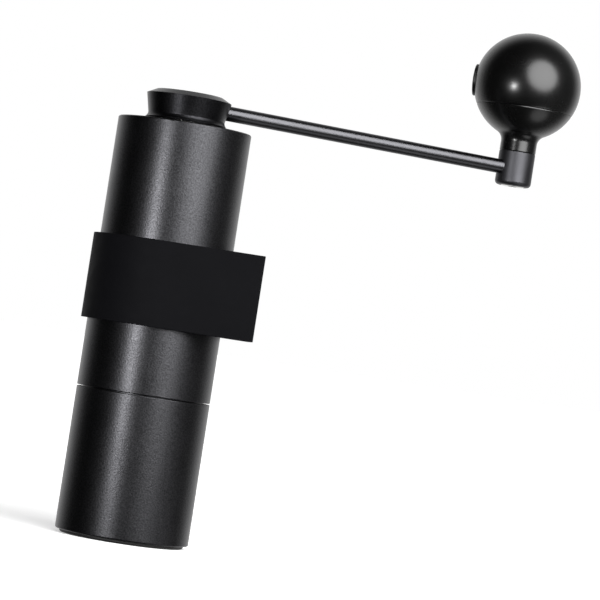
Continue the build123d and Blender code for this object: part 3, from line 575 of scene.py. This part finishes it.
class GRINDER_OT_hub(bpy.types.Operator):
    """Turn the crank's hub and the flat cap in its top"""

    bl_idname = "grinder.hub"
    bl_label = "Crank hub"

    def execute(self, context):
        sizes = context.scene.grinder_sizes
        look = context.scene.grinder_colours
        foot_r = 14.0 * MM
        waist_r = 13.25 * MM
        waist_z = RIM_Z + 2.9 * MM
        rim_z = RIM_Z + 9.45 * MM
        foot_z = HUB_LOW_Z + 0.5 * MM
        flare = [(waist_r + (foot_r - waist_r) * (1 - t) ** 2.2, foot_z + (waist_z - foot_z) * t)
                 for t in (0, 0.12, 0.25, 0.4, 0.55, 0.7, 0.85, 1)]
        socket_r = high("hub_socket").x
        socket_top = high("hub_socket").z
        hollow_z = HUB_LOW_Z + 2.0 * MM
        piece = turn("hub", [
            (socket_r, hollow_z), (12.0 * MM, hollow_z), (12.6 * MM, HUB_LOW_Z),
            (foot_r - 0.2 * MM, HUB_LOW_Z)]
            + flare + [
            (HUB_RIM_R, rim_z), (CAP_R + 0.3 * MM, HUB_TOP_Z), (CAP_R + 0.05 * MM, HUB_TOP_Z),
            (CAP_R + 0.05 * MM, CAP_LOW_Z), (3.4 * MM, CAP_LOW_Z), (3.4 * MM, socket_top + 0.7 * MM),
            (1.55 * MM, socket_top + 0.7 * MM), (1.55 * MM, socket_top), (socket_r, socket_top)])
        rod_end = (ARM_START_X + 20 * MM, 0, ARM_Z)
        cut(piece, bar("rod_hole", ARM_R + 0.03 * MM, (ARM_START_X, 0, ARM_Z), rod_end))
        round_edges(piece, sizes.edge)
        smooth(piece)
        # The hub takes a darker copy of the barrel's blasted finish: painted shade for the dimmer light on
        # its flank
        hub_painted_shade_finish = blasted_aluminium("blasted_aluminium_hub_painted_shade", look.hub)
        place(piece, "crank", "blasted_anodised", hub_painted_shade_finish, "hub_shell")

        cap = turn("hub_disc", [
            (0, CAP_LOW_Z), (CAP_R, CAP_LOW_Z), (CAP_R, HUB_TOP_Z - 0.2 * MM), (CAP_R - 0.2 * MM, HUB_TOP_Z),
            (0, HUB_TOP_Z)])
        round_edges(cap, 0.06 * MM)
        smooth(cap)
        finish = turned_aluminium("turned_black_aluminium", look.anodised, 0.28)
        place(cap, "crank", "turned_anodised", finish, "hub_cap")
        return {"FINISHED"}


class GRINDER_OT_arm(bpy.types.Operator):
    """Make the crank's rod, the post at its end and the axle's polished head"""

    bl_idname = "grinder.arm"
    bl_label = "Crank arm"

    def execute(self, context):
        look = context.scene.grinder_colours
        rod = bar("arm", ARM_R, (ARM_START_X, 0, ARM_Z), (ARM_END_X, 0, ARM_Z))
        round_edges(rod, 0.15 * MM, 2, 40)
        smooth(rod)
        place(rod, "crank", "gloss_black_rod", gloss_rod(), "arm_rod")

        foot = 1.5 * MM
        axle_r = 3.0 * MM
        head_top = POST_LOW_Z + 2.3 * MM
        post = turn("post", [
            (axle_r, head_top), (AXLE_HEAD_R, head_top), (AXLE_HEAD_R, POST_LOW_Z)]
            + arc((POST_R - foot, POST_LOW_Z + foot), foot, -90, 0, 10)
            + [(POST_R, POST_TOP_Z - 0.15 * MM), (POST_R - 0.15 * MM, POST_TOP_Z), (axle_r, POST_TOP_Z)],
            128, KNOB_X)
        cut(post, bar("rod_seat", ARM_R + 0.02 * MM, (KNOB_X - 20 * MM, 0, ARM_Z), (ARM_END_X, 0, ARM_Z)))
        round_edges(post, 0.06 * MM)
        smooth(post)
        place(post, "crank", "turned_anodised", turned_aluminium("satin_black_aluminium", look.post, 0.46),
              "arm_end_post")

        axle = turn("axle", [
            (0, AXLE_LOW_Z + 1.4 * MM), (1.6 * MM, AXLE_LOW_Z + 1.4 * MM), (1.6 * MM, AXLE_LOW_Z),
            (AXLE_HEAD_R - 0.6 * MM, AXLE_LOW_Z), (AXLE_HEAD_R, AXLE_LOW_Z + 0.45 * MM),
            (AXLE_HEAD_R, head_top),
            (axle_r, head_top), (axle_r, AXLE_TOP_Z - 0.5 * MM), (axle_r - 0.5 * MM, AXLE_TOP_Z),
            (0, AXLE_TOP_Z)], 96, KNOB_X)
        round_edges(axle, 0.08 * MM)
        smooth(axle)
        place(axle, "crank", "fastener_steel", ground_steel("polished_stainless", look.steel, 0.16),
              "knob_axle")
        return {"FINISHED"}


class GRINDER_OT_knob(bpy.types.Operator):
    """Turn the ball knob in two parts, and its side plug"""

    bl_idname = "grinder.knob"
    bl_label = "Ball knob"

    def execute(self, context):
        blend_z = 160.0 * MM
        drop = BALL_Z - blend_z
        blend = (BALL_R ** 2 - drop ** 2 - POST_R ** 2) / (2 * (POST_R - BALL_R))
        centre = (POST_R + blend, blend_z)
        slope = degrees(atan2(drop, -centre[0]))
        seam_drop = BALL_Z - BALL_SEAM_Z
        seam_turn = -degrees(asin(seam_drop / BALL_R))
        touch_turn = -degrees(atan2(drop, centre[0]))
        inner_r = BALL_R - 2.4 * MM
        bush_r = 4.5 * MM
        tube_r = POST_R + 0.8 * MM
        tube_top = 172.0 * MM
        inner_seam = -degrees(asin(seam_drop / inner_r))
        inner_low = -degrees(atan2(sqrt(inner_r ** 2 - tube_r ** 2), tube_r))
        groove = 0.12 * MM
        land = 0.3 * MM
        land_turn = -degrees(asin((seam_drop + land) / BALL_R))
        land_r = BALL_R * cos(radians(land_turn))
        stem = turn("ball_lower", [
            (bush_r, STEM_LOW_Z), (POST_R - 0.15 * MM, STEM_LOW_Z), (POST_R, STEM_LOW_Z + 0.15 * MM)]
            + arc(centre, blend, 180, slope, 12) + arc((0, BALL_Z), BALL_R, touch_turn, land_turn, 24)[1:]
            + [(land_r - 0.25 * land, BALL_SEAM_Z)]
            + arc((0, BALL_Z), inner_r, inner_seam, inner_low, 12)
            + [(tube_r, tube_top), (bush_r, tube_top)], 224, KNOB_X)
        smooth(stem)
        place(stem, "knob", "knob_black", satin_ball(), "knob_stem")

        dome_low = BALL_SEAM_Z + groove
        lift_turn = -degrees(asin((BALL_Z - dome_low) / BALL_R))
        dome_inner = -degrees(asin((BALL_Z - dome_low) / inner_r))
        dome = turn("ball_upper", [
            (BALL_R * cos(radians(lift_turn)) - groove, dome_low)]
            + arc((0, BALL_Z), BALL_R, lift_turn + 0.4, 90, 72)
            + arc((0, BALL_Z), inner_r, 90, dome_inner, 48), 224, KNOB_X)
        toward = Vector((cos(PLUG_TURN), sin(PLUG_TURN), 0))
        centre_of_ball = Vector((KNOB_X, 0, BALL_Z))
        start = centre_of_ball + toward * 10 * MM
        cut(dome, bar("plug_hole", PLUG_R, start, centre_of_ball + toward * 25 * MM, 128))
        smooth(dome)
        place(dome, "knob", "knob_black", satin_ball(), "knob_dome")

        top = BALL_R + PLUG_PROUD
        crown = 0.55 * MM
        crown_r = (PLUG_R ** 2 + crown ** 2) / (2 * crown)
        crown_turn = degrees(asin(PLUG_R / crown_r))
        plug_r = PLUG_R - 0.04 * MM
        plug = turn("ball_plug", [(0, 16 * MM), (plug_r, 16 * MM)]
                    + arc((0, top - crown_r), crown_r, 90 - crown_turn, 90, 12), 128)
        plug.location = centre_of_ball
        plug.rotation_euler = toward.to_track_quat("Z", "Y").to_euler()
        activate(plug)
        bpy.ops.object.transform_apply(location=True, rotation=True, scale=True)
        round_edges(plug, 0.25 * MM, 4, 40)
        smooth(plug)
        place(plug, "knob", "plug_black", matt_plug(), "knob_side_plug")
        return {"FINISHED"}


class GRINDER_OT_lid(bpy.types.Operator):
    """Turn the hopper lid"""

    bl_idname = "grinder.lid"
    bl_label = "Hopper lid"

    def execute(self, context):
        look = context.scene.grinder_colours
        sizes = context.scene.grinder_sizes
        bush_r = 7.4 * MM
        plate_z = LID_TOP_Z - 2.0 * MM
        skirt = LID_R - 0.9 * MM
        gasket_low = LID_LOW_Z + 1.2 * MM
        gasket_top = gasket_low + 1.8 * MM
        lid = turn("lid", [
            (bush_r, plate_z), (skirt - 1.8 * MM, plate_z), (skirt - 1.8 * MM, LID_LOW_Z), (skirt, LID_LOW_Z),
            (skirt, gasket_low), (skirt - 0.9 * MM, gasket_low), (skirt - 0.9 * MM, gasket_top),
            (skirt, gasket_top), (skirt, plate_z), (LID_R, plate_z + 0.3 * MM),
            (LID_R, LID_TOP_Z - 0.3 * MM), (LID_R - 0.3 * MM, LID_TOP_Z), (bush_r, LID_TOP_Z)])
        round_edges(lid, sizes.edge)
        smooth(lid)
        place(lid, "lid", "turned_anodised", turned_aluminium("turned_black_aluminium", look.anodised, 0.28),
              "hopper_lid")
        finish_node(rubber("seal_silicone_grey", look.seal, 0.5), "lid_gasket", "cup_seal_ring")
        finish_node(acetal(), "lid_bush", "knob_bushes")
        return {"FINISHED"}


class GRINDER_OT_mechanism(bpy.types.Operator):
    """Finish the burrs, spindle, bearings, dial and fasteners"""

    bl_idname = "grinder.mechanism"
    bl_label = "Mechanism"

    def execute(self, context):
        look = context.scene.grinder_colours
        inner = turned_aluminium("inner_black_aluminium", look.anodised, 0.36)
        finish_node(inner, "burr_sleeve", "lower_bearing_carrier", "upper_bearing_carrier")
        finish_node(turned_aluminium("clear_anodised_aluminium", look.clear_anodised, 0.3), "adjust_dial")
        finish_node(ground_steel("hardened_burr_steel", look.burr, 0.32, 0.2 * MM), "ring_burr", "cone_burr")
        shaft = ground_steel("ground_stainless", look.steel, 0.24)
        finish_node(shaft, "drive_shaft", "hub_socket", "click_plate", "axle_washer", "spring_washer")
        bearing = ground_steel("polished_bearing_steel", look.steel, 0.12)
        for level in ("lower", "upper"):
            parts = ("outer_race", "inner_race", "balls")
            finish_node(bearing, *[level + "_bearing_" + part for part in parts])
        finish_node(bearing, "detent_balls")
        spring = ground_steel("drawn_spring_steel", look.burr, 0.3)
        finish_node(spring, "preload_spring", "detent_springs", "shaft_clips", "lid_clip")
        fastener = ground_steel("polished_stainless", look.steel, 0.16)
        finish_node(fastener, "ring_burr_screws", "hub_screw", "arm_grub_screw", "axle_nut")
        return {"FINISHED"}


# ------------------------------------------------------------------ stage
CAMERA_AT = Vector((-453.2, -986.7, 71.0)) * MM
CAMERA_AIM = Vector((49.5, -8.8, 90.8)) * MM
CAMERA_ROLL = radians(8.8)
CAMERA_LENS = 190.0                 # millimetres, on a 36 mm sensor


def camera_axes():
    """The camera's right, up and forward directions."""
    ahead = (CAMERA_AIM - CAMERA_AT).normalized()
    level = ahead.cross(Vector((0, 0, 1))).normalized()
    upright = level.cross(ahead)
    right = level * cos(CAMERA_ROLL) + upright * sin(CAMERA_ROLL)
    up = right.cross(ahead)
    return right, up, ahead


def light(name, place_at, radius, radiance):
    """A round area light at (right, toward the camera, up) from the aim, in metres."""
    right, up, ahead = camera_axes()
    lamp = bpy.data.lights.new(name, "AREA")
    lamp.shape = "DISK"
    lamp.size = 2 * radius
    lamp.energy = radiance * pi * pi * radius ** 2
    holder = bpy.data.objects.new(name, lamp)
    bpy.context.collection.objects.link(holder)
    way = right * place_at[0] - ahead * place_at[1] + up * place_at[2]
    holder.location = CAMERA_AIM + way
    holder.rotation_euler = (-way).to_track_quat("-Z", "Y").to_euler()
    return holder


class GRINDER_OT_stage(bpy.types.Operator):
    """Set the floor, the white backdrop, the lights and the camera"""

    bl_idname = "grinder.stage"
    bl_label = "Studio"

    def execute(self, context):
        look = context.scene.grinder_colours
        right, up, ahead = camera_axes()

        deselect()
        bpy.ops.mesh.primitive_plane_add(size=40.0, location=(0, 0, 0))
        floor = context.object
        floor.name = "studio_floor"
        # The floor glows with painted light: its emission rises from 0.45 beside the grinder to 1.0 at 0.6 m,
        # so it fades into the white backdrop while the real shadow still shows close by
        glow_floor_material, tree, shader, place_of = material("white_floor_painted_glow", look.floor, Roughness=0.9, **{
            "Emission Color": (1, 1, 1, 1)})
        away = node(tree, "VectorMath", {0: place_of}, operation="LENGTH").outputs["Value"]
        tree.links.new(spread(tree, away, 0.08, 0.6, 0.45, 1.0), shader.inputs["Emission Strength"])
        floor.data.materials.append(glow_floor_material)
        floor.visible_glossy = False
        floor.visible_shadow = False

        world = bpy.data.worlds.new("white_studio")
        world.use_nodes = True
        tree = world.node_tree
        tree.nodes.clear()
        way = node(tree, "TexCoord").outputs["Generated"]
        behind = node(tree, "VectorMath", {0: way, 1: ahead}, operation="DOT_PRODUCT").outputs["Value"]
        beside = node(tree, "VectorMath", {0: way, 1: right}, operation="DOT_PRODUCT").outputs["Value"]
        white = node(tree, "MapRange", {"Value": behind, "From Min": 0.25, "From Max": 0.85},
                     interpolation_type="SMOOTHSTEP").outputs[0]
        fill = spread(tree, beside, -0.2, 0.8, 0.015, 0.12)
        glow = node(tree, "Math", {0: white, 1: fill}, operation="MAXIMUM").outputs[0]
        seen = node(tree, "LightPath").outputs["Is Camera Ray"]
        strength = node(tree, "Mix", {0: seen, 2: glow, 3: 1.0}, data_type="FLOAT").outputs[0]
        backdrop = node(tree, "Background", {"Color": (1, 1, 1, 1), "Strength": strength})
        node(tree, "OutputWorld", {"Surface": backdrop.outputs[0]})
        context.scene.world = world

        light("key_lamp", (-0.30, 0.55, 0.055), 0.037, 122)
        light("soft_box", (0.38, 0.50, 0.28), 0.40, 6.8)
        light("bounce_card", (0.19, 0.075, -0.23), 0.1, 1.1)

        lens = bpy.data.cameras.new("camera")
        lens.lens = CAMERA_LENS
        lens.sensor_width = 36.0
        lens.clip_start = 0.05
        lens.clip_end = 50
        camera = bpy.data.objects.new("camera", lens)
        context.collection.objects.link(camera)
        turned = Matrix((right, up, -ahead)).transposed().to_4x4()
        camera.matrix_world = Matrix.Translation(CAMERA_AT) @ turned
        context.scene.camera = camera
        context.scene.view_settings.view_transform = "Standard"
        return {"FINISHED"}


OPERATORS = (
    GRINDER_OT_barrel, GRINDER_OT_cup, GRINDER_OT_foot, GRINDER_OT_band, GRINDER_OT_hub,
    GRINDER_OT_arm, GRINDER_OT_knob, GRINDER_OT_lid, GRINDER_OT_mechanism, GRINDER_OT_stage,
)


class GRINDER_PT_pieces(bpy.types.Panel):
    """Lists the grinder's pieces"""

    bl_idname = "GRINDER_PT_pieces"
    bl_label = "Coffee grinder"
    bl_space_type = "VIEW_3D"
    bl_region_type = "UI"
    bl_category = "Grinder"

    def draw(self, context):
        for operator in OPERATORS:
            self.layout.operator(operator.bl_idname)


CLASSES = (GrinderSizes, GrinderColours, *OPERATORS, GRINDER_PT_pieces)


def register():
    """Register the classes and hang the settings on the scene."""
    for each in CLASSES:
        bpy.utils.register_class(each)
    bpy.types.Scene.grinder_sizes = bpy.props.PointerProperty(type=GrinderSizes)
    bpy.types.Scene.grinder_colours = bpy.props.PointerProperty(type=GrinderColours)


def unregister():
    """Undo register."""
    del bpy.types.Scene.grinder_colours
    del bpy.types.Scene.grinder_sizes
    for each in reversed(CLASSES):
        bpy.utils.unregister_class(each)


def main():
    """Register the add-on and make every piece in order."""
    register()
    for operator in OPERATORS:
        group, name = operator.bl_idname.split(".")
        getattr(getattr(bpy.ops, group), name)()


if __name__ == "__main__":
    main()
